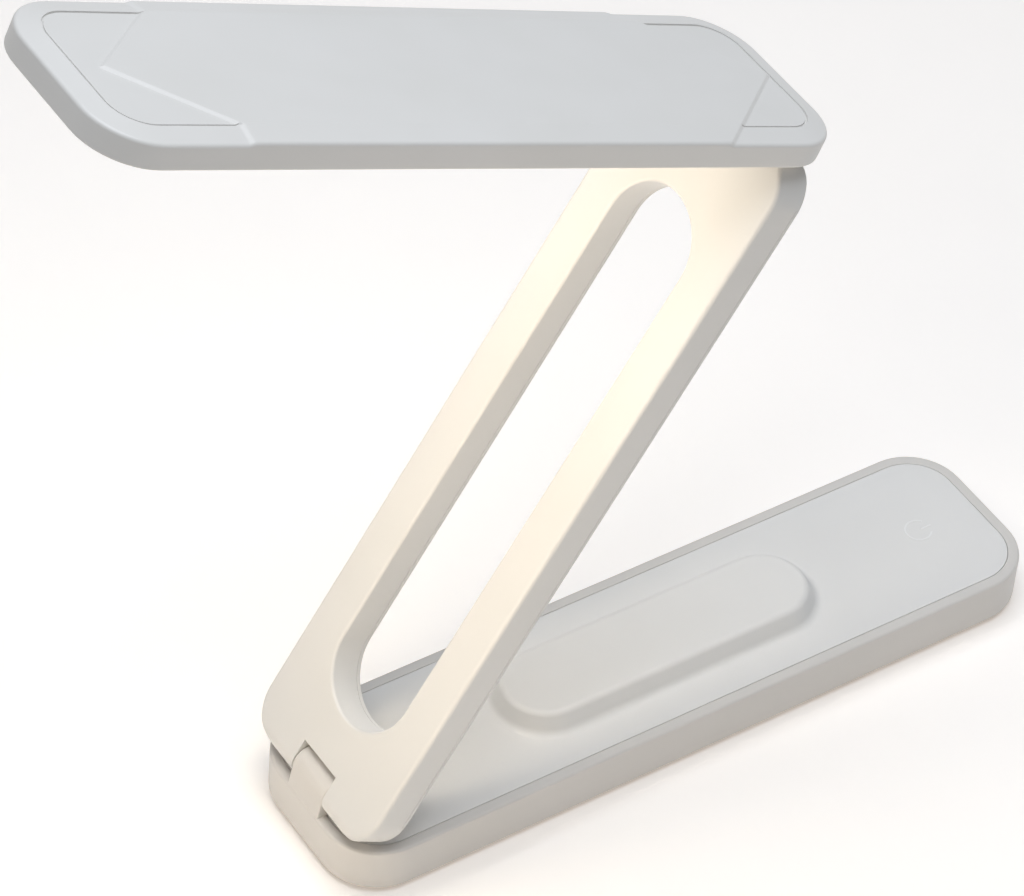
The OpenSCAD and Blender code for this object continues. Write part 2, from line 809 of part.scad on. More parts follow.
base_tray();
base_deck();
anti_slip_pad();
base_screws();
battery_cell();
battery_cradle();
battery_tabs();
ballast_plate();
control_board();
board_components();
board_screws();
usb_port();
usb_tongue();
charge_light_pipe();
touch_foam_post();
base_lead();
lower_hinge_pin();
lower_bushes();
lower_washers();
lower_key_pins();
arm_shell();
arm_back_cover();
arm_screws();
arm_lead();
upper_bushes();
upper_washers();
upper_key_pins();
upper_hinge_pin();
head_cover();
head_bezel();
diffuser();
reflector_sheet();
led_board();
leds();
head_screws();
head_lead();
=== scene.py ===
"""Folding desk lamp, shown standing half open on a pale floor."""
import json
import math

import bmesh
import bpy
from mathutils import Matrix, Vector

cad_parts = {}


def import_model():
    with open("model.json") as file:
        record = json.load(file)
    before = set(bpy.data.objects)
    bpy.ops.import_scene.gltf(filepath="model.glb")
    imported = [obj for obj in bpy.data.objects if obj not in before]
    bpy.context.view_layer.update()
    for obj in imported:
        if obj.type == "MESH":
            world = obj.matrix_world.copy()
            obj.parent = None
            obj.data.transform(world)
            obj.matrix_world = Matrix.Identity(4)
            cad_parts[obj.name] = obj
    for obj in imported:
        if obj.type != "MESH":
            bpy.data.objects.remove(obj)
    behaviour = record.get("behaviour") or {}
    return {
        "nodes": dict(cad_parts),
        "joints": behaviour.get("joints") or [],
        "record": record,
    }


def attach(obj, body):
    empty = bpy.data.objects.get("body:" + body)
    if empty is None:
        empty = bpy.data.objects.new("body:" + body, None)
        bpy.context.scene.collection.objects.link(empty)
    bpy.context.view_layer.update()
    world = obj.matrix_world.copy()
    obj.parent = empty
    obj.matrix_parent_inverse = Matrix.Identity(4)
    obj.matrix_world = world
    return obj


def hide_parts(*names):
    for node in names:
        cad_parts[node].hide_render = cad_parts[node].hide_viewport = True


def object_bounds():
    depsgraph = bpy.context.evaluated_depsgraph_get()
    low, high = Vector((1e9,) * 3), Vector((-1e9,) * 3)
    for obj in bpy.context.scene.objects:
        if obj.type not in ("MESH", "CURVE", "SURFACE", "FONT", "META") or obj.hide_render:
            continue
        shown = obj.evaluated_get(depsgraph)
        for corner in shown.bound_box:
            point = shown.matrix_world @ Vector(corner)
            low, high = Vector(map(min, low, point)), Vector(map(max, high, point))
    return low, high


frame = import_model()
cad_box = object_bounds()

MM = 0.001
TAU = 2 * math.pi
SCALE = Matrix.Scale(MM, 4)


# ---------- places, all from the frame ----------

def rotation_y(degrees):
    return Matrix.Rotation(math.radians(degrees), 4, "Y")


lower, upper = frame["joints"]
LOWER_PIN, UPPER_PIN = Vector(lower["pos_m"]), Vector(upper["pos_m"])
SPAN = (UPPER_PIN - LOWER_PIN).length / MM
ARM_ANGLE = math.degrees(math.atan2(UPPER_PIN.z - LOWER_PIN.z, UPPER_PIN.x - LOWER_PIN.x))
HEAD_TILT = -upper["range_deg"][0] - ARM_ANGLE

BASE = SCALE
ARM = Matrix.Translation(LOWER_PIN) @ rotation_y(-ARM_ANGLE) @ SCALE
HEAD = Matrix.Translation(UPPER_PIN) @ rotation_y(HEAD_TILT) @ SCALE


def local_box(node, place):
    """Lowest and highest corner of a CAD node in a local frame, in millimetres."""
    back = place.inverted()
    points = [back @ v.co for v in frame["nodes"][node].data.vertices]
    return [Vector(f(p[k] for p in points) for k in range(3)) for f in (min, max)]


TRAY = local_box("base_tray", BASE)
PAD = local_box("anti_slip_pad", BASE)
DECK = local_box("base_deck", BASE)
SHELL = local_box("arm_shell", ARM)
COVER = local_box("arm_back_cover", ARM)
HOOD = local_box("head_cover", HEAD)
PORT = local_box("usb_port", BASE)
PIPE = local_box("charge_light_pipe", BASE)
KEYS = local_box("lower_key_pins", ARM)

HALF_L, HALF_W = TRAY[1].x, TRAY[1].y
HALF_T = SHELL[1].z
PIN_X, PIN_Z = LOWER_PIN.x / MM, LOWER_PIN.z / MM


# ---------- mesh building ----------

LONG_STEPS, ARC_STEPS, SHORT_STEPS = 24, 12, 6


def outline(x0, x1, half_w, radius, inset=0.0):
    """Rectangle with round corners as a ring of points. Every ring has the same number of points."""
    mid, half_l = (x0 + x1) / 2, (x1 - x0) / 2 - inset
    half_w, radius = half_w - inset, max(radius - inset, 0.3)
    straight = half_w - radius
    on_arc = ARC_STEPS if straight > 0.01 else ARC_STEPS + SHORT_STEPS
    quarter = [((half_l - radius) * k / LONG_STEPS, half_w) for k in range(LONG_STEPS)]
    for k in range(on_arc):
        turn = math.pi / 2 * k / on_arc
        quarter.append((half_l - radius + radius * math.sin(turn), straight + radius * math.cos(turn)))
    rest = LONG_STEPS + ARC_STEPS + SHORT_STEPS - len(quarter)
    quarter += [(half_l, straight * (1 - k / max(rest, 1))) for k in range(rest)]
    quarter.append((half_l, 0.0))
    back = quarter[::-1]
    ring = quarter[:-1] + [(x, -y) for x, y in back][:-1]
    ring += [(-x, -y) for x, y in quarter][:-1] + [(-x, y) for x, y in back][:-1]
    return [(mid + x, y) for x, y in ring]


def level(ring, z):
    return [(x, y, z) for x, y in ring]


def between(ring_a, ring_b, share):
    return [tuple(a + (b - a) * share for a, b in zip(p, q)) for p, q in zip(ring_a, ring_b)]


def round_edge(radius, steps, start, end):
    """Insets and drops along a rounded edge, from angle start to angle end in degrees."""
    turns = [math.radians(start + (end - start) * k / steps) for k in range(steps + 1)]
    return [(radius * (1 - math.cos(t)), radius * (1 - math.sin(t))) for t in turns]


def ladder(bm, row):
    """Fills a ring that is symmetrical about X with narrow faces across it."""
    n, quarter = len(row), len(row) // 4
    for k in list(range(quarter)) + list(range(3 * quarter, n)):
        corners = [row[k], row[(k + 1) % n], row[(2 * quarter - k - 1) % n], row[(2 * quarter - k) % n]]
        bm.faces.new(list(dict.fromkeys(corners)))


def loft(rings, caps=True, around=False, rungs=False):
    """bmesh through rings of equal length; around joins the last ring to the first."""
    bm = bmesh.new()
    rows = [[bm.verts.new(p) for p in ring] for ring in rings]
    pairs = list(zip(rows, rows[1:])) + ([(rows[-1], rows[0])] if around else [])
    for a, b in pairs:
        for k in range(len(a)):
            n = (k + 1) % len(a)
            bm.faces.new((a[k], a[n], b[n], b[k]))
    if caps and not around:
        bm.faces.new(rows[0][::-1])
        if rungs:
            ladder(bm, rows[-1])
        else:
            bm.faces.new(rows[-1])
    bmesh.ops.remove_doubles(bm, verts=bm.verts, dist=1e-4)
    bmesh.ops.dissolve_degenerate(bm, edges=bm.edges, dist=1e-4)
    bmesh.ops.recalc_face_normals(bm, faces=bm.faces)
    return bm


def prism(profile, y0, y1, soft):
    """Closed outline in X and Z, carried from y0 to y1, with both end edges rounded by soft."""
    rings = []
    for inset, drop in round_edge(soft, 3, 0, 90):
        rings.append([(x, y0 + inset, z) for x, z in shrink(profile, drop)])
    rings += [[(x, y0 + y1 - y, z) for x, y, z in ring] for ring in rings[::-1]]
    return loft(rings)


def shrink(profile, amount):
    """Convex outline moved inwards by amount."""
    if not amount:
        return profile
    n, moved = len(profile), []
    area = sum(profile[k][0] * profile[(k + 1) % n][1] - profile[(k + 1) % n][0] * profile[k][1]
               for k in range(n))
    side = 1 if area > 0 else -1
    for k in range(n):
        p = Vector(profile[k])
        before = (p - Vector(profile[k - 1])).normalized()
        after = (Vector(profile[(k + 1) % n]) - p).normalized()
        normal = Vector((-before.y - after.y, before.x + after.x)).normalized() * side
        spread = max(normal.dot(Vector((-after.y, after.x)) * side), 0.5)
        moved.append(tuple(p + normal * amount / spread))
    return moved


def box_mesh(low, high):
    bm = bmesh.new()
    bmesh.ops.create_cube(bm, size=1)
    for v in bm.verts:
        v.co = Vector((low[k] if v.co[k] < 0 else high[k]) for k in range(3))
    return bm


def rod(radius, length, place):
    """Cylinder cutter along the local Z of place, from 0 to length."""
    bm = bmesh.new()
    bmesh.ops.create_cone(bm, cap_ends=True, segments=32, radius1=radius, radius2=radius, depth=length,
                          matrix=place @ Matrix.Translation((0, 0, length / 2)))
    return bm


ALONG_Y = Matrix.Rotation(-math.pi / 2, 4, "X")
ALONG_X = Matrix.Rotation(math.pi / 2, 4, "Y")


def to_object(name, bm):
    mesh = bpy.data.meshes.new(name)
    bm.to_mesh(mesh)
    bm.free()
    made = bpy.data.objects.new(name, mesh)
    bpy.context.scene.collection.objects.link(made)
    return made


def combine(bm, tools, kind):
    """bm with each tool joined to it or cut from it, by exact boolean."""
    work = to_object("work", bm)
    for tool in tools:
        other = to_object("tool", tool)
        step = work.modifiers.new("step", "BOOLEAN")
        step.operation, step.object, step.solver = kind, other, "EXACT"
        bpy.context.view_layer.update()
        seen = work.evaluated_get(bpy.context.evaluated_depsgraph_get())
        mesh = bpy.data.meshes.new_from_object(seen)
        work.modifiers.clear()
        work.data = mesh
        bpy.data.objects.remove(other)
    out = bmesh.new()
    out.from_mesh(work.data)
    bpy.data.objects.remove(work)
    bmesh.ops.remove_doubles(out, verts=out.verts, dist=1e-3)
    bmesh.ops.dissolve_degenerate(out, edges=out.edges, dist=1e-3)
    return out


def soften(bm, chosen, width):
    """Bevels the sharp edges for which chosen(middle point) is true."""
    bm.normal_update()
    edges = [e for e in bm.edges if len(e.link_faces) == 2 and e.calc_face_angle(0) > math.radians(40)
             and chosen((e.verts[0].co + e.verts[1].co) / 2)]
    bmesh.ops.bevel(bm, geom=edges, offset=width, segments=2, profile=0.5, affect="EDGES",
                    clamp_overlap=True)
    return bm


def piece(name, bm, place, body, material, replaced=()):
    """Finished object: set in its place, smooth but for its sharp edges, riding on its body."""
    bm.transform(place)
    made = to_object(name, bm)
    for polygon in made.data.polygons:
        polygon.use_smooth = True
    made.data.set_sharp_from_angle(angle=math.radians(34))
    even = made.modifiers.new("even_normals", "WEIGHTED_NORMAL")
    even.keep_sharp = True
    made.data.materials.append(material)
    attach(made, body)
    if replaced:
        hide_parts(*replaced)


# ---------- materials ----------

class Nodes:
    """Short way to add and link the nodes of one material."""

    def __init__(self, name):
        self.material = bpy.data.materials.new(name)
        self.material.use_nodes = True
        self.tree = self.material.node_tree
        self.shader = self.tree.nodes["Principled BSDF"]
        self.place = self.add("ShaderNodeTexCoord").outputs["Object"]

    def add(self, kind, **settings):
        node = self.tree.nodes.new(kind)
        for key, value in settings.items():
            if key in node.inputs:
                node.inputs[key].default_value = value
            else:
                setattr(node, key, value)
        return node

    def link(self, source, target):
        self.tree.links.new(source, target)

    def noise(self, size, detail=3.0, stretch=(1, 1, 1)):
        """Noise whose patches are about size millimetres across."""
        mapping = self.add("ShaderNodeMapping", Scale=stretch)
        self.link(self.place, mapping.inputs["Vector"])
        node = self.add("ShaderNodeTexNoise", Scale=1 / (size * MM), Detail=detail, Roughness=0.55)
        self.link(mapping.outputs["Vector"], node.inputs["Vector"])
        return node.outputs["Fac"]

    def spread(self, source, low, high, from_low=0.3, from_high=0.7):
        node = self.add("ShaderNodeMapRange")
        limits = {"From Min": from_low, "From Max": from_high, "To Min": low, "To Max": high}
        for socket, value in limits.items():
            node.inputs[socket].default_value = value
        self.link(source, node.inputs["Value"])
        return node.outputs["Result"]

    def mix(self, factor, first, second):
        node = self.add("ShaderNodeMix", data_type="RGBA")
        for socket, value in ((6, first), (7, second)):
            if isinstance(value, (tuple, list)):
                node.inputs[socket].default_value = (*value[:3], 1)
            else:
                self.link(value, node.inputs[socket])
        self.link(factor, node.inputs[0])
        return node.outputs[2]

    def edges(self):
        """Mask of the outer edges, where handling rubs the surface."""
        geometry = self.add("ShaderNodeNewGeometry")
        return self.spread(geometry.outputs["Pointiness"], 0, 1, 0.52, 0.6)

    def product(self, a, b):
        node = self.add("ShaderNodeMath", operation="MULTIPLY")
        self.link(a, node.inputs[0])
        self.link(b, node.inputs[1])
        return node.outputs[0]

    def bump(self, height, depth, strength=1.0, after=None):
        """Surface relief: depth in millimetres between the lowest and the highest point."""
        node = self.add("ShaderNodeBump", Strength=strength, Distance=depth * MM)
        self.link(height, node.inputs["Height"])
        if after is not None:
            self.link(after, node.inputs["Normal"])
        return node.outputs["Normal"]


GRAIN_SIZE, GRAIN_DEPTH, EDGE_WEAR = 0.35, 0.012, 0.4


def moulded(name, colour, tint, rough=(0.34, 0.44), edge=None):
    """Injection-moulded plastic: eroded grain, soft cloudiness in colour and gloss, rubbed edges."""
    n = Nodes(name)
    cloud = n.noise(38, 2.0)
    flow = n.noise(9, 4.0, (0.25, 1, 1))
    base = n.mix(n.spread(cloud, 0, 1), colour, tint)
    rubbed = n.product(n.edges(), n.spread(n.noise(5, 3.0), 0, EDGE_WEAR))
    base = n.mix(rubbed, base, edge or tuple(min(1, c * 1.06) for c in colour))
    n.link(base, n.shader.inputs["Base Color"])
    n.link(n.spread(flow, *rough), n.shader.inputs["Roughness"])
    fine = n.bump(n.noise(GRAIN_SIZE, 2.0), GRAIN_DEPTH)
    broad = n.bump(n.noise(24, 1.0), 0.05, 0.35, fine)
    n.link(broad, n.shader.inputs["Normal"])
    n.shader.inputs["IOR"].default_value = 1.49
    return n.material


def metal(name, colour, rough=(0.22, 0.4), brushed=(1, 1, 1)):
    """Metal with fine scratches along one direction and dulled patches."""
    n = Nodes(name)
    lines = n.noise(0.9, 4.0, brushed)
    patches = n.noise(6, 3.0)
    dulled = tuple(c * 0.8 for c in colour)
    n.link(n.mix(n.spread(patches, 0, 1), colour, dulled), n.shader.inputs["Base Color"])
    n.link(n.spread(lines, *rough), n.shader.inputs["Roughness"])
    n.link(n.bump(lines, 0.008, 0.6), n.shader.inputs["Normal"])
    n.shader.inputs["Metallic"].default_value = 1.0
    return n.material


def rubber(name, colour):
    """Soft matt rubber with a pebbled skin and a little dust."""
    n = Nodes(name)
    cells = n.add("ShaderNodeTexVoronoi", Scale=1 / (1.1 * MM))
    n.link(n.place, cells.inputs["Vector"])
    dust = n.spread(n.noise(14, 5.0), 0, 0.35)
    dusty = tuple(min(1, c * 1.7 + 0.03) for c in colour)
    n.link(n.mix(dust, colour, dusty), n.shader.inputs["Base Color"])
    n.link(n.spread(n.noise(3, 3.0), 0.7, 0.88), n.shader.inputs["Roughness"])
    n.link(n.bump(cells.outputs["Distance"], 0.12, 0.7), n.shader.inputs["Normal"])
    return n.material


def coated(name, colour, rough=(0.15, 0.3)):
    """Smooth coat over an uneven core: shrink sleeve, solder mask, chip packages."""
    n = Nodes(name)
    n.link(n.mix(n.spread(n.noise(2.5, 4.0), 0, 1), colour, tuple(c * 0.82 for c in colour)),
           n.shader.inputs["Base Color"])
    n.link(n.spread(n.noise(1.2, 3.0), *rough), n.shader.inputs["Roughness"])
    n.link(n.bump(n.noise(0.8, 3.0), 0.02, 0.5), n.shader.inputs["Normal"])
    return n.material


def clear(name, colour):
    """Clear plastic with slightly uneven colour and gloss."""
    n = Nodes(name)
    n.link(n.mix(n.spread(n.noise(3, 2.0), 0, 1), colour, tuple(c * 0.93 for c in colour)),
           n.shader.inputs["Base Color"])
    n.link(n.spread(n.noise(0.7, 2.0), 0.06, 0.16), n.shader.inputs["Roughness"])
    n.shader.inputs["Transmission Weight"].default_value = 0.85
    n.shader.inputs["IOR"].default_value = 1.58
    return n.material


def glowing(name, colour, warm, strength):
    """Nodes of an opaque material that gives light, unevenly as phosphor and opal plastic do."""
    n = Nodes(name)
    n.link(n.mix(n.spread(n.noise(20, 2.0), 0, 1), colour, tuple(c * 0.97 for c in colour)),
           n.shader.inputs["Base Color"])
    n.link(n.spread(n.noise(4, 3.0), 0.32, 0.45), n.shader.inputs["Roughness"])
    n.link(n.bump(n.noise(0.3, 2.0), 0.01), n.shader.inputs["Normal"])
    n.shader.inputs["Emission Color"].default_value = (*warm, 1)
    n.link(n.spread(n.noise(6, 1.0), strength * 0.9, strength * 1.1), n.shader.inputs["Emission Strength"])
    return n


DIODE_PITCH, DIODE_ROW_GAP = 14.6, 14.0
FADE_FROM, FADE_TO, FADED = -135 * MM, -40 * MM, 0.05


def lit_window(name, colour, warm, strength):
    """Opal window: brighter in a pattern of two rows of diodes, and fading towards the hinge."""
    n = glowing(name, colour, warm, strength)
    pin, along, across = HEAD.translation, HEAD.col[0].xyz.normalized(), HEAD.col[1].xyz.normalized()
    from_pin = n.add("ShaderNodeVectorMath", operation="SUBTRACT")
    from_pin.inputs[1].default_value = pin
    n.link(n.place, from_pin.inputs[0])
    shares = []
    for way, pitch in ((along, DIODE_PITCH), (across, DIODE_ROW_GAP)):
        reach = n.add("ShaderNodeVectorMath", operation="DOT_PRODUCT")
        reach.inputs[1].default_value = way
        n.link(from_pin.outputs[0], reach.inputs[0])
        phase = n.add("ShaderNodeMath", operation="MULTIPLY_ADD")
        phase.inputs[1].default_value = TAU / (pitch * MM)
        phase.inputs[2].default_value = math.pi if way is across else 0.0
        n.link(reach.outputs["Value"], phase.inputs[0])
        wave = n.add("ShaderNodeMath", operation="COSINE")
        n.link(phase.outputs[0], wave.inputs[0])
        shares.append(n.spread(wave.outputs[0], 0.86, 1.0, -1, 1))
        if way is along:
            faded = n.spread(reach.outputs["Value"], strength, strength * FADED, FADE_FROM, FADE_TO)
    light = n.product(n.product(*shares), faded)
    n.link(light, n.shader.inputs["Emission Strength"])
    return n.material


WHITE, WARM_WHITE = (0.74, 0.73, 0.71), (0.72, 0.71, 0.685)
MATERIALS = {
    "shell_white": moulded("white_abs", WHITE, WARM_WHITE),
    # deck_white is a lighter copy of the white plastic: painted light for the brightly lit top of the base
    "deck_white": moulded("white_abs_deck_painted_light", (0.80, 0.79, 0.77), (0.775, 0.765, 0.745)),
    "silicone_grey": rubber("grey_silicone", (0.16, 0.16, 0.165)),
    "screw_steel": metal("zinc_plated_steel", (0.56, 0.57, 0.6)),
    "cell_sleeve": coated("blue_sleeve", (0.03, 0.12, 0.36)),
    "black_plastic": moulded("black_nylon", (0.02, 0.02, 0.022), (0.03, 0.03, 0.032),
                             edge=(0.07, 0.07, 0.07)),
    "nickel": metal("nickel_plate", (0.72, 0.69, 0.64), (0.14, 0.3)),
    "ballast_steel": metal("rolled_steel", (0.22, 0.215, 0.21), (0.4, 0.6), (0.15, 1, 1)),
    "board_green": coated("green_solder_mask", (0.015, 0.11, 0.05)),
    "component_black": coated("moulded_chips", (0.015, 0.015, 0.018), (0.3, 0.5)),
    "clear_plastic": clear("clear_polycarbonate", (0.92, 0.95, 0.97)),
    "foam": rubber("conductive_foam", (0.03, 0.03, 0.035)),
    "lead_white": moulded("white_insulation", (0.72, 0.71, 0.69), (0.66, 0.65, 0.62), (0.45, 0.6)),
    "hinge_steel": metal("ground_steel", (0.5, 0.5, 0.52), (0.18, 0.34), (1, 0.1, 1)),
    "acetal": moulded("black_acetal", (0.03, 0.03, 0.032), (0.045, 0.045, 0.047), (0.3, 0.42)),
    "opal_plastic": lit_window("opal_polycarbonate", (0.93, 0.9, 0.84), (1.0, 0.9, 0.76), 21.0),
    "reflector_white": moulded("white_foil", (0.85, 0.85, 0.84), (0.8, 0.8, 0.79), (0.25, 0.35)),
    "board_aluminium": coated("white_solder_mask", (0.78, 0.79, 0.79)),
    "led_phosphor": glowing("phosphor", (0.9, 0.72, 0.2), (1.0, 0.82, 0.6), 4.0).material,
}


# ---------- base ----------

FOLD_GAP = 0.6
RIM_TOP = PIN_Z - HALF_T - FOLD_GAP
BOTTOM = 0.8
BASE_CORNER = 17.5
RIM_W, SEAM, DECK_GAP = 3.5, 0.2, 0.05
LEDGE_IN, LEDGE = 5.0, RIM_TOP - 2.2
FLOOR_TOP = 2.6
PAD_IN = HALF_L - PAD[1].x - SEAM
KNUCKLE_HALF, KNUCKLE_STEPS = 8.0, 24
KNUCKLE_IN, KNUCKLE_SINK, KNUCKLE_EDGE = 0.25, 1.0, 0.5
BREAK_EDGE = 0.25
PORT_ROOM, PIPE_COVER, MOUTH_DEEP = 0.2, 0.55, 8.0
SEAM_EDGE, SEAM_EDGE_MID = 0.3, 0.09


def base_ring(inset, z):
    return level(outline(-HALF_L, HALF_L, HALF_W, BASE_CORNER, inset), z)


def knuckle_profile():
    """Side view of the lower hinge's knuckle, from the tray's ledge up and round the pin."""
    turns = [math.pi * (1 - k / KNUCKLE_STEPS) for k in range(KNUCKLE_STEPS + 1)]
    arc = [(PIN_X + HALF_T * math.cos(t), PIN_Z + HALF_T * math.sin(t)) for t in turns]
    outer, foot = -HALF_L + KNUCKLE_IN, LEDGE - KNUCKLE_SINK
    return [(outer, foot), (outer, RIM_TOP - 0.6)] + arc + [(PIN_X + HALF_T, foot)]


def base_tray():
    """Tub of the base: inside walls, ledge, rim, outside, pad recess, knuckle and the port's mouth."""
    rings = [base_ring(LEDGE_IN, FLOOR_TOP), base_ring(LEDGE_IN, LEDGE), base_ring(RIM_W, LEDGE),
             base_ring(RIM_W, RIM_TOP - SEAM_EDGE), base_ring(RIM_W - SEAM_EDGE_MID, RIM_TOP - SEAM_EDGE_MID),
             base_ring(RIM_W - SEAM_EDGE, RIM_TOP)]
    rings += [base_ring(i, RIM_TOP - d) for i, d in round_edge(0.9, 4, 90, 0)]
    rings += [base_ring(i, BOTTOM + d) for i, d in round_edge(2.0, 6, 0, 90)]
    rings += [base_ring(PAD_IN, BOTTOM), base_ring(PAD_IN, BOTTOM + 0.6)]
    knuckle = prism(knuckle_profile(), -KNUCKLE_HALF, KNUCKLE_HALF, KNUCKLE_EDGE)
    bm = combine(loft(rings), [knuckle], "UNION")
    port_y, port_z = (PORT[0].y + PORT[1].y) / 2, (PORT[0].z + PORT[1].z) / 2
    half_h = (PORT[1].z - PORT[0].z) / 2 + PORT_ROOM
    half_w = (PORT[1].y - PORT[0].y) / 2 + PORT_ROOM
    mouth = loft([[(x, port_y + u, port_z + v) for u, v in outline(-half_w, half_w, half_h, half_h)]
                  for x in (HALF_L - MOUTH_DEEP, HALF_L + 1)])
    pipe_y, pipe_z = (PIPE[0].y + PIPE[1].y) / 2, (PIPE[0].z + PIPE[1].z) / 2
    pipe_r = (PIPE[1].z - PIPE[0].z) / 2 - PIPE_COVER
    pipe_place = Matrix.Translation((HALF_L - MOUTH_DEEP, pipe_y, pipe_z)) @ ALONG_X
    bm = combine(bm, [mouth, rod(pipe_r, MOUTH_DEEP + 2, pipe_place)], "DIFFERENCE")
    return soften(bm, lambda p: p.x > HALF_L - 0.1 and abs(p.y) < 12, BREAK_EDGE)


HUMP_L, HUMP_HALF = 109.0, 15.6
HUMP_H = DECK[1].z - RIM_TOP


def hump_rings():
    """Battery hump: hollow fillet at its foot, steep wall, rounded shoulder and flat top."""
    foot_r, shoulder_r, steep, start = 3.2, 2.5, 62, -2.2
    turns = [math.radians(steep * k / 6) for k in range(7)]
    profile = [(start + foot_r * math.sin(t), foot_r * (1 - math.cos(t))) for t in turns]
    straight_up = HUMP_H - (foot_r + shoulder_r) * (1 - math.cos(turns[-1]))
    top_edge = profile[-1][0] + straight_up / math.tan(turns[-1]) + shoulder_r * math.sin(turns[-1])
    profile += [(top_edge - shoulder_r * math.sin(t), HUMP_H - shoulder_r * (1 - math.cos(t)))
                for t in turns[::-1]]
    return [level(outline(-HUMP_L / 2, HUMP_L / 2, HUMP_HALF, HUMP_HALF, inset), RIM_TOP + z)
            for inset, z in profile]


def base_deck():
    """Inset upper panel with the hump, cut out round the lower knuckle."""
    edge = RIM_W + DECK_GAP
    rings = [base_ring(edge, LEDGE + 0.02), base_ring(edge, RIM_TOP - SEAM_EDGE),
             base_ring(edge + SEAM_EDGE_MID, RIM_TOP - SEAM_EDGE_MID),
             base_ring(edge + SEAM_EDGE, RIM_TOP), base_ring(edge + 2, RIM_TOP)]
    hump = hump_rings()
    rings += [between(rings[-1], hump[0], share) for share in (0.4, 0.8)] + hump
    slot_x = PIN_X + HALF_T + 0.5
    gap_half = KNUCKLE_HALF + 0.45
    gap = box_mesh((-HALF_L - 1, -gap_half, LEDGE - 2), (slot_x, gap_half, RIM_TOP + 1))
    bm = combine(loft(rings), [gap], "DIFFERENCE")
    return soften(bm, lambda p: p.x < slot_x + 0.1 and abs(p.y) < KNUCKLE_HALF + 0.6, BREAK_EDGE)


SIGN_X, SIGN_R, SIGN_LINE = HALF_L - 24.5, 4.0, 0.5
SIGN_SINK, SIGN_PROUD = 0.05, 0.12
BAR_FROM, BAR_TO = SIGN_X + 1.0, SIGN_X + 4.6
RING_FROM, RING_TURN, RING_STEPS = 38, 284, 40


def touch_sign():
    """Generic power sign: an open ring with a bar in its gap, just proud of the deck."""
    turns = [math.radians(RING_FROM + RING_TURN * k / RING_STEPS) for k in range(RING_STEPS + 1)]
    bm = bmesh.new()
    bands = [[(SIGN_X + r * math.cos(t), r * math.sin(t)) for t in turns]
             for r in (SIGN_R - SIGN_LINE / 2, SIGN_R + SIGN_LINE / 2)]
    open_ring = bands[0] + bands[1][::-1]
    bar = [(BAR_FROM, -SIGN_LINE / 2), (BAR_FROM, SIGN_LINE / 2),
           (BAR_TO, SIGN_LINE / 2), (BAR_TO, -SIGN_LINE / 2)]
    for shape in (open_ring, bar):
        low = [bm.verts.new((x, y, RIM_TOP - SIGN_SINK)) for x, y in shape]
        high = [bm.verts.new((x, y, RIM_TOP + SIGN_PROUD)) for x, y in shape]
        bm.faces.new(low)
        bm.faces.new(high[::-1])
        for k in range(len(shape)):
            n = (k + 1) % len(shape)
            bm.faces.new((low[k], high[k], high[n], low[n]))
    bmesh.ops.recalc_face_normals(bm, faces=bm.faces)
    return bm


def anti_slip_pad():
    """Pad in the tray's recess, with its lower edge rounded."""
    rings = [base_ring(PAD_IN + SEAM, BOTTOM + 0.55)]
    rings += [base_ring(PAD_IN + SEAM + i, d) for i, d in round_edge(0.5, 4, 0, 90)]
    return loft(rings)


# ---------- arm ----------

ARM_CORNER = 14.0
SLOT_HALF = 16.3
SLOT_LOW = 26.9 - HALF_T
SLOT_HIGH = SPAN + HALF_T - 29.8
NOTCH_HALF = KNUCKLE_HALF + 0.25
NOTCH_DEPTH = HALF_T + 0.7
COVER_U = (COVER[0].x, COVER[1].x)
COVER_V = COVER[1].z
ARM_HALF_W = SHELL[1].y
SEAM_HALF = 0.15
KEY_U, KEY_R = (KEYS[0].x + KEYS[1].x) / 2, (KEYS[1].x - KEYS[0].x) / 2
KEY_ROOM, KEY_DEEP = 0.3, 0.25
NOTCH_EDGE = 0.22
BEYOND = 2.0
SCREW_R, SCREW_DEEP, SCREW_CUT = 2.1, 0.9, 3.0
ARM_SCREW_U, ARM_SCREW_Y = 16.0, 25.9
FACE_INSETS = (0, 0.06, 0.22, 0.5, 0.9, 1.3, 1.9, 2.7, 3.6, 4.6, 5.4, 6.2, 7.2)
# the slot's chamfer, as shares of its size: how far out and how far down
CHAMFER_STEPS = ((1, 0), (0.55, 0.12), (0.2, 0.45), (0, 1))


def arm_height(u, inset, soft):
    """Half the arm's thickness at a place on its face: round ends, softened side edges."""
    past = max(-u, u - SPAN, 0.0)
    end = math.sqrt(max(HALF_T ** 2 - past ** 2, 0.0))
    drop = soft - math.sqrt(max(soft ** 2 - max(soft - inset, 0.0) ** 2, 0.0))
    return max(end - drop, 0.0)


def arm_face_rings(side):
    """Rings from the arm's edge over one face to the slot's wall; side is 1 for the front."""
    soft = 1.3 if side > 0 else 0.9
    rings = []
    for inset in FACE_INSETS:
        plan = outline(-HALF_T, SPAN + HALF_T, ARM_HALF_W, ARM_CORNER, inset)
        rings.append([(u, y, side * arm_height(u, inset, soft)) for u, y in plan])
    chamfer = 0.9 if side > 0 else 0.5
    mouth = [level(outline(SLOT_LOW, SLOT_HIGH, SLOT_HALF, SLOT_HALF, -chamfer * out),
                   side * (HALF_T - chamfer * down))
             for out, down in CHAMFER_STEPS]
    rings += [between(rings[-1], mouth[0], share) for share in (0.35, 0.7)]
    return rings + mouth


def near_notch(p):
    """True at the edges of the two knuckle notches."""
    at_an_end = p.x < NOTCH_DEPTH + 0.1 or p.x > SPAN - NOTCH_DEPTH - 0.1
    return at_an_end and abs(p.y) < NOTCH_HALF + 0.1


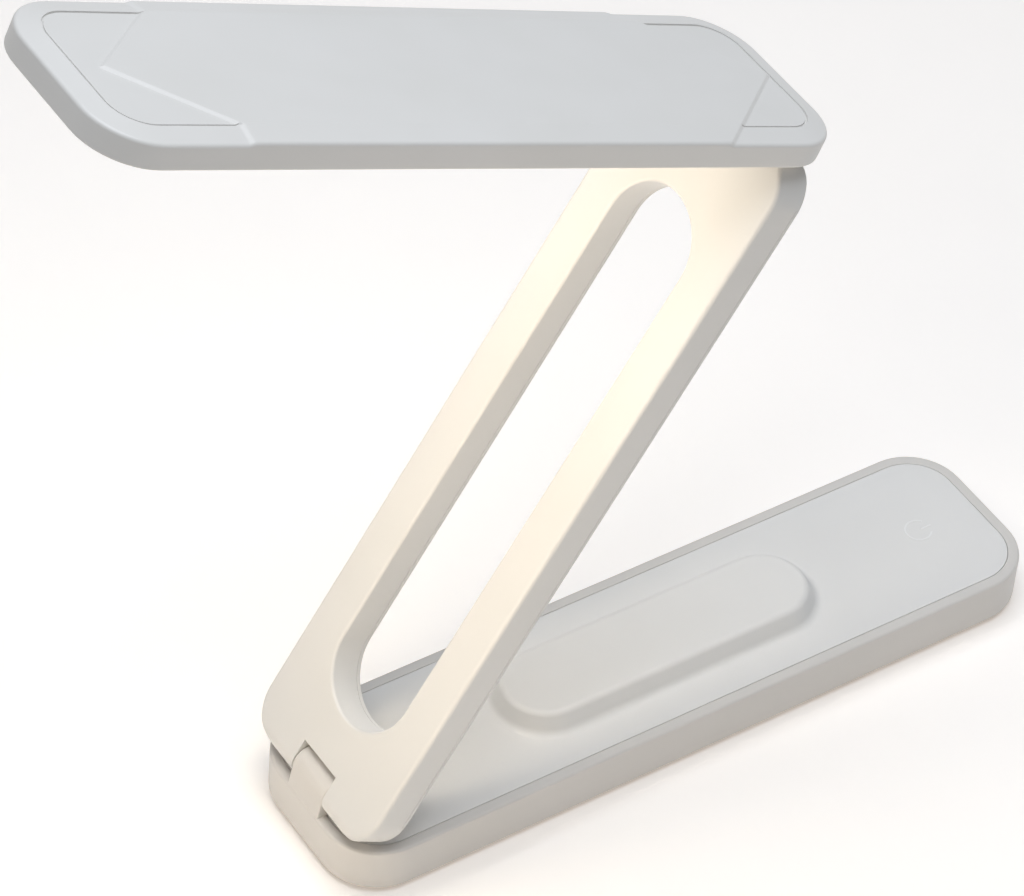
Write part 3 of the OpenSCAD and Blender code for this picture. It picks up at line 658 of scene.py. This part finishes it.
def arm_solid():
    """The whole arm with its slot, its knuckle notches and traces of the key pins' recesses."""
    rings = arm_face_rings(1) + arm_face_rings(-1)[::-1]
    tools = []
    for low, high in ((-HALF_T - BEYOND, NOTCH_DEPTH), (SPAN - NOTCH_DEPTH, SPAN + HALF_T + BEYOND)):
        tools.append(box_mesh((low, -NOTCH_HALF, -HALF_T - BEYOND), (high, NOTCH_HALF, HALF_T + BEYOND)))
    # The recesses start KEY_DEEP inside the straight sides. The rounded corners lie deeper than that
    # at most of each recess, so only a sliver is cut and the pins' ends stay covered.
    recess_end, past_side = ARM_HALF_W - KEY_DEEP, ARM_HALF_W + BEYOND
    for u in (KEY_U, SPAN - KEY_U):
        for y in (recess_end, -past_side):
            place = Matrix.Translation((u, y, 0)) @ ALONG_Y
            tools.append(rod(KEY_R + KEY_ROOM, past_side - recess_end, place))
    bm = combine(loft(rings, around=True), tools, "DIFFERENCE")
    return soften(bm, near_notch, NOTCH_EDGE)


def screw_seats(along, half_gap, face):
    """Cutters for the screws' seats, SCREW_DEEP up from a face that looks down."""
    return [rod(SCREW_R, SCREW_CUT, Matrix.Translation((x, y, face + SCREW_DEEP - SCREW_CUT)))
            for x in along for y in (-half_gap, half_gap)]


def arm_pieces():
    """Front shell and back cover, parted by a fine seam along the sides."""
    whole = arm_solid()
    reach, below = ARM_HALF_W + BEYOND, -HALF_T - 1
    shell_cut = box_mesh((COVER_U[0] - SEAM_HALF, -reach, below),
                         (COVER_U[1] + SEAM_HALF, reach, COVER_V + SEAM_HALF))
    cover_keep = box_mesh((COVER_U[0], -reach, below), (COVER_U[1], reach, COVER_V))
    shell = combine(whole.copy(), [shell_cut], "DIFFERENCE")
    cover = combine(whole, [cover_keep], "INTERSECT")
    seats = screw_seats((ARM_SCREW_U, SPAN / 2, SPAN - ARM_SCREW_U), ARM_SCREW_Y, -HALF_T)
    return shell, combine(cover, seats, "DIFFERENCE")


# ---------- head ----------

HEAD_TIP, HEAD_END, HEAD_HALF_W = HOOD[0].x, HOOD[1].x, HOOD[1].y
HEAD_LOW, HEAD_TOP = HOOD[0].z, HOOD[1].z
HEAD_MID = (HEAD_TIP + HEAD_END) / 2
HEAD_CORNER = 16.5
WALL = 1.8
PANEL_STEP, PANEL_SLOPE = 0.6, 1.4
BAND_IN, BAND_DROP, CREASE = 6.4, 1.25, 0.1
GROOVE_W, GROOVE_DEEP = 0.6, 0.6
# each end of the panel: its apex, the way inwards, slant along and across, and where the slant stops
PANEL_ENDS = ((HEAD_TIP + 14.0, 1, 26.5, 23.6, HEAD_HALF_W - BAND_IN),
              (HEAD_END - 7.2, -1, 36.0, 30.0, HEAD_HALF_W))
SLOPE_CUTS = (-0.5, -0.3, -0.1, 0.1, 0.3, 0.5)
TOP_EDGE, LOWER_EDGE = 1.2, 0.8
CEILING_ROOM = 0.3
HEAD_SCREW_X, HEAD_SCREW_Y = 18.0, 24.6


def head_ring(inset, z):
    return level(outline(HEAD_TIP, HEAD_END, HEAD_HALF_W, HEAD_CORNER, inset), z)


def panel_share(x, y):
    """1 on the raised six-cornered panel, 0 off it, and in between on its slope."""
    inside = [((x - apex) * way * across - min(abs(y), stop) * along) / math.hypot(along, across)
              for apex, way, along, across, stop in PANEL_ENDS]
    t = min(max(min(inside) / PANEL_SLOPE + 0.5, 0.0), 1.0)
    return t * t * (3 - 2 * t)


def head_top(inset, x, y):
    """Height of the head's top at a distance from its edge: sloping band, groove, flat middle."""
    flat = HEAD_TOP - PANEL_STEP
    band = flat - BAND_DROP * (1 - min(inset / BAND_IN, 1))
    if inset < BAND_IN:
        low = band
    elif inset < BAND_IN + GROOVE_W:
        low = flat - GROOVE_DEEP
    else:
        low = flat - CREASE
    high = band + PANEL_STEP
    share = panel_share(x, y)
    return low * (1 - share) + high * share


def cut_top(bm, lowest, chosen, point, normal):
    """Cuts the chosen faces above a height along a plane, so that a slope can start there."""
    faces = [f for f in bm.faces
             if all(v.co.z > lowest - 0.01 for v in f.verts) and chosen(f.calc_center_median())]
    parts = faces + list({e for f in faces for e in f.edges}) + list({v for f in faces for v in f.verts})
    bmesh.ops.bisect_plane(bm, geom=parts, plane_co=point, plane_no=normal, dist=1e-4)


def cut_panel_slopes(bm, lowest):
    """Edges along the panel's slopes: the slants at both ends, straight across where a slant stops."""
    for apex, way, along, across, stop in PANEL_ENDS:
        for side in (1, -1):
            slanted = Vector((way * across, -side * along, 0)).normalized()
            for offset in SLOPE_CUTS:
                on_slant = Vector((apex, 0, 0)) + slanted * offset * PANEL_SLOPE
                cut_top(bm, lowest, lambda p: 0 <= p.y * side < stop, on_slant, slanted)
                if stop < HEAD_HALF_W:
                    corner = on_slant + Vector((way * along * stop / across, 0, 0))
                    corner -= Vector((0, on_slant.y, 0))
                    corner.x += on_slant.y * slanted.y / slanted.x
                    cut_top(bm, lowest, lambda p: p.y * side >= stop, corner, (1, 0, 0))


def head_cover():
    """Shell of the head: made with a flat top, which is cut along the panel and then shaped."""
    edge_top = head_top(TOP_EDGE, HEAD_MID, HEAD_HALF_W) - PANEL_STEP
    upper = edge_top - TOP_EDGE - 0.01
    ceiling = upper - CEILING_ROOM
    rings = [head_ring(WALL, ceiling), head_ring(WALL, HEAD_LOW + 0.2), head_ring(WALL - 0.2, HEAD_LOW)]
    rings += [head_ring(inset, HEAD_LOW + drop) for inset, drop in round_edge(LOWER_EDGE, 3, 90, 0)]
    rings += [head_ring(inset, edge_top - drop) for inset, drop in round_edge(TOP_EDGE, 6, 0, 90)]
    groove_end = BAND_IN + GROOVE_W
    insets = (2.4, 4.4, BAND_IN - 0.02, BAND_IN + 0.02,
              groove_end - 0.02, groove_end + 0.02, groove_end + 0.6)
    rings += [head_ring(inset, HEAD_TOP) for inset in insets]
    bm = loft(rings, rungs=True)
    cut_top(bm, upper, lambda p: True, (HEAD_MID, 0, 0), (0, 1, 0))
    cut_panel_slopes(bm, upper)
    for v in bm.verts:
        if v.co.z < upper:
            continue
        inset = edge_distance(v.co.x, v.co.y)
        if inset <= TOP_EDGE + 0.01:
            v.co.z += PANEL_STEP * panel_share(v.co.x, v.co.y)
        else:
            v.co.z = head_top(inset, v.co.x, v.co.y)
    bm.normal_update()
    return bm


def edge_distance(x, y):
    """Distance inwards from the head's outline seen from above."""
    dx = HEAD_MID + abs(x - HEAD_MID) - (HEAD_END - HEAD_CORNER)
    dy = abs(y) - (HEAD_HALF_W - HEAD_CORNER)
    if dx > 0 and dy > 0:
        return HEAD_CORNER - math.hypot(dx, dy)
    return HEAD_CORNER - max(dx, dy)


WINDOW_HALF_L, WINDOW_HALF_W, WINDOW_CORNER = 94.0, 20.0, 10.0


def window_ring(grow, z):
    x0, x1 = HEAD_MID - WINDOW_HALF_L, HEAD_MID + WINDOW_HALF_L
    return level(outline(x0, x1, WINDOW_HALF_W, WINDOW_CORNER, -grow), z)


def head_bezel():
    """Frame of the head's underside with the upper knuckle."""
    top = HEAD_LOW + 1.8
    outer = WALL + 0.12
    rings = [head_ring(outer, top), head_ring(outer, HEAD_LOW + 0.25), head_ring(outer + 0.25, HEAD_LOW),
             head_ring(outer + 3, HEAD_LOW), window_ring(1.2, HEAD_LOW), window_ring(0.9, HEAD_LOW + 0.08),
             window_ring(0, HEAD_LOW + 0.9), window_ring(0, top)]
    turns = [math.pi * (1 + k / KNUCKLE_STEPS) for k in range(KNUCKLE_STEPS + 1)]
    profile = [(HALF_T * math.cos(t), HALF_T * math.sin(t)) for t in turns]
    profile += [(HALF_T, HEAD_LOW + 1.2), (-HALF_T, HEAD_LOW + 1.2)]
    knuckle = prism(profile, -KNUCKLE_HALF, KNUCKLE_HALF, KNUCKLE_EDGE)
    bm = combine(loft(rings, around=True), [knuckle], "UNION")
    seats = screw_seats((HEAD_TIP + HEAD_SCREW_X, HEAD_MID, HEAD_END - HEAD_SCREW_X), HEAD_SCREW_Y, HEAD_LOW)
    return combine(bm, seats, "DIFFERENCE")


def diffuser():
    """Opal window, slightly crowned outwards, with its flange hidden behind the frame."""
    face = HEAD_LOW + 0.55
    flange, flange_low, flange_top, crown, crown_in = 1.3, HEAD_LOW + 1.86, HEAD_LOW + 2.85, 0.25, 9
    rings = [window_ring(flange, flange_top), window_ring(flange, flange_low), window_ring(-0.1, flange_low),
             window_ring(-0.1, face + 0.3), window_ring(-0.2, face + 0.08), window_ring(-0.5, face)]
    rings += [window_ring(-inset, face - crown * (1 - (1 - inset / crown_in) ** 2))
              for inset in (2, 4, 6.5, crown_in)]
    return loft(rings)


# ---------- the lamp ----------

white, deck_white = MATERIALS["shell_white"], MATERIALS["deck_white"]
# The tray's white is a darker, warmer copy of the white plastic: painted shade for the shaded sides of the
# base, which colours its rim as well
tray_white_painted_shade = moulded("white_abs_tray_painted_shade", (0.7, 0.672, 0.638), (0.68, 0.655, 0.62))
bright_white = moulded("white_print", (0.86, 0.855, 0.84), (0.83, 0.825, 0.81), (0.3, 0.4))
piece("tray", base_tray(), BASE, "base", tray_white_painted_shade, ["base_tray"])
piece("deck", base_deck(), BASE, "base", deck_white, ["base_deck"])
piece("touch_mark", touch_sign(), BASE, "base", bright_white)
piece("pad", anti_slip_pad(), BASE, "base", MATERIALS["silicone_grey"], ["anti_slip_pad"])
arm_shell, arm_cover = arm_pieces()
piece("arm_front", arm_shell, ARM, "arm", white, ["arm_shell"])
piece("arm_back", arm_cover, ARM, "arm", white, ["arm_back_cover"])
piece("head_top", head_cover(), HEAD, "head", white, ["head_cover"])
piece("head_frame", head_bezel(), HEAD, "head", white, ["head_bezel"])
piece("light_window", diffuser(), HEAD, "head", MATERIALS["opal_plastic"], ["diffuser"])

for part in frame["record"]["subparts"]:
    node = frame["nodes"][part["node"]]
    node.data.materials.clear()
    node.data.materials.append(MATERIALS[part["material_slot"]])


# ---------- floor, light and camera ----------

def floor():
    """Plain pale floor, lifted a little by a warm glow of its own."""
    n = Nodes("pale_floor")
    n.link(n.mix(n.spread(n.noise(90, 2.0), 0, 1), (0.96, 0.945, 0.925), (0.95, 0.935, 0.915)),
           n.shader.inputs["Base Color"])
    n.link(n.spread(n.noise(40, 2.0), 0.6, 0.75), n.shader.inputs["Roughness"])
    n.shader.inputs["Emission Color"].default_value = (1.0, 0.86, 0.74, 1)
    n.shader.inputs["Emission Strength"].default_value = 0.19
    bm = bmesh.new()
    bmesh.ops.create_grid(bm, x_segments=8, y_segments=8, size=4)
    made = to_object("floor", bm)
    made.data.materials.append(n.material)


def soft_light(name, place, aim, size, power, colour, spread=180):
    """Square area light that the camera doesn't see; spread in degrees."""
    data = bpy.data.lights.new(name, "AREA")
    data.size, data.energy, data.color, data.spread = size, power, colour, math.radians(spread)
    made = bpy.data.objects.new(name, data)
    made.location = place
    made.rotation_euler = (Vector(aim) - Vector(place)).to_track_quat("-Z", "Y").to_euler()
    made.visible_camera = False
    bpy.context.scene.collection.objects.link(made)


CAMERA_AT = (-0.61563, -0.76367, 1.06112)
YAW, PITCH, ROLL = 36.17, 44.66, 4.79
LENS_MM, SENSOR_MM = 172.04, 36.0


def camera():
    """At the viewing angle of the reference: from the front left, looking down."""
    yaw, pitch, roll = (math.radians(a) for a in (YAW, PITCH, ROLL))
    ahead = Vector((math.sin(yaw) * math.cos(pitch), math.cos(yaw) * math.cos(pitch), -math.sin(pitch)))
    level_right = Vector((math.cos(yaw), -math.sin(yaw), 0))
    level_up = level_right.cross(ahead)
    right = level_right * math.cos(roll) + level_up * math.sin(roll)
    up = level_up * math.cos(roll) - level_right * math.sin(roll)
    data = bpy.data.cameras.new("camera")
    data.lens, data.sensor_width, data.clip_end = LENS_MM, SENSOR_MM, 20
    made = bpy.data.objects.new("camera", data)
    turn = Matrix((right, up, -ahead)).transposed().to_4x4()
    made.matrix_world = Matrix.Translation(CAMERA_AT) @ turn
    bpy.context.scene.collection.objects.link(made)
    bpy.context.scene.camera = made


def world(colour, strength):
    made = bpy.data.worlds.new("studio")
    made.use_nodes = True
    back = made.node_tree.nodes["Background"]
    back.inputs["Color"].default_value = (*colour, 1)
    back.inputs["Strength"].default_value = strength
    bpy.context.scene.world = made


floor()
camera()
world((0.92, 0.96, 1.0), 0.22)
middle = (cad_box[0] + cad_box[1]) / 2
soft_light("overhead", (0.0, 0.0, 1.5), middle, 1.2, 17, (0.91, 0.945, 1.0))
soft_light("left_end", (-0.38, -0.1, 0.08), (-0.04, 0, 0.16), 0.12, 0.1, (1.0, 0.82, 0.58), 70)
bpy.context.scene.view_settings.view_transform = "Standard"
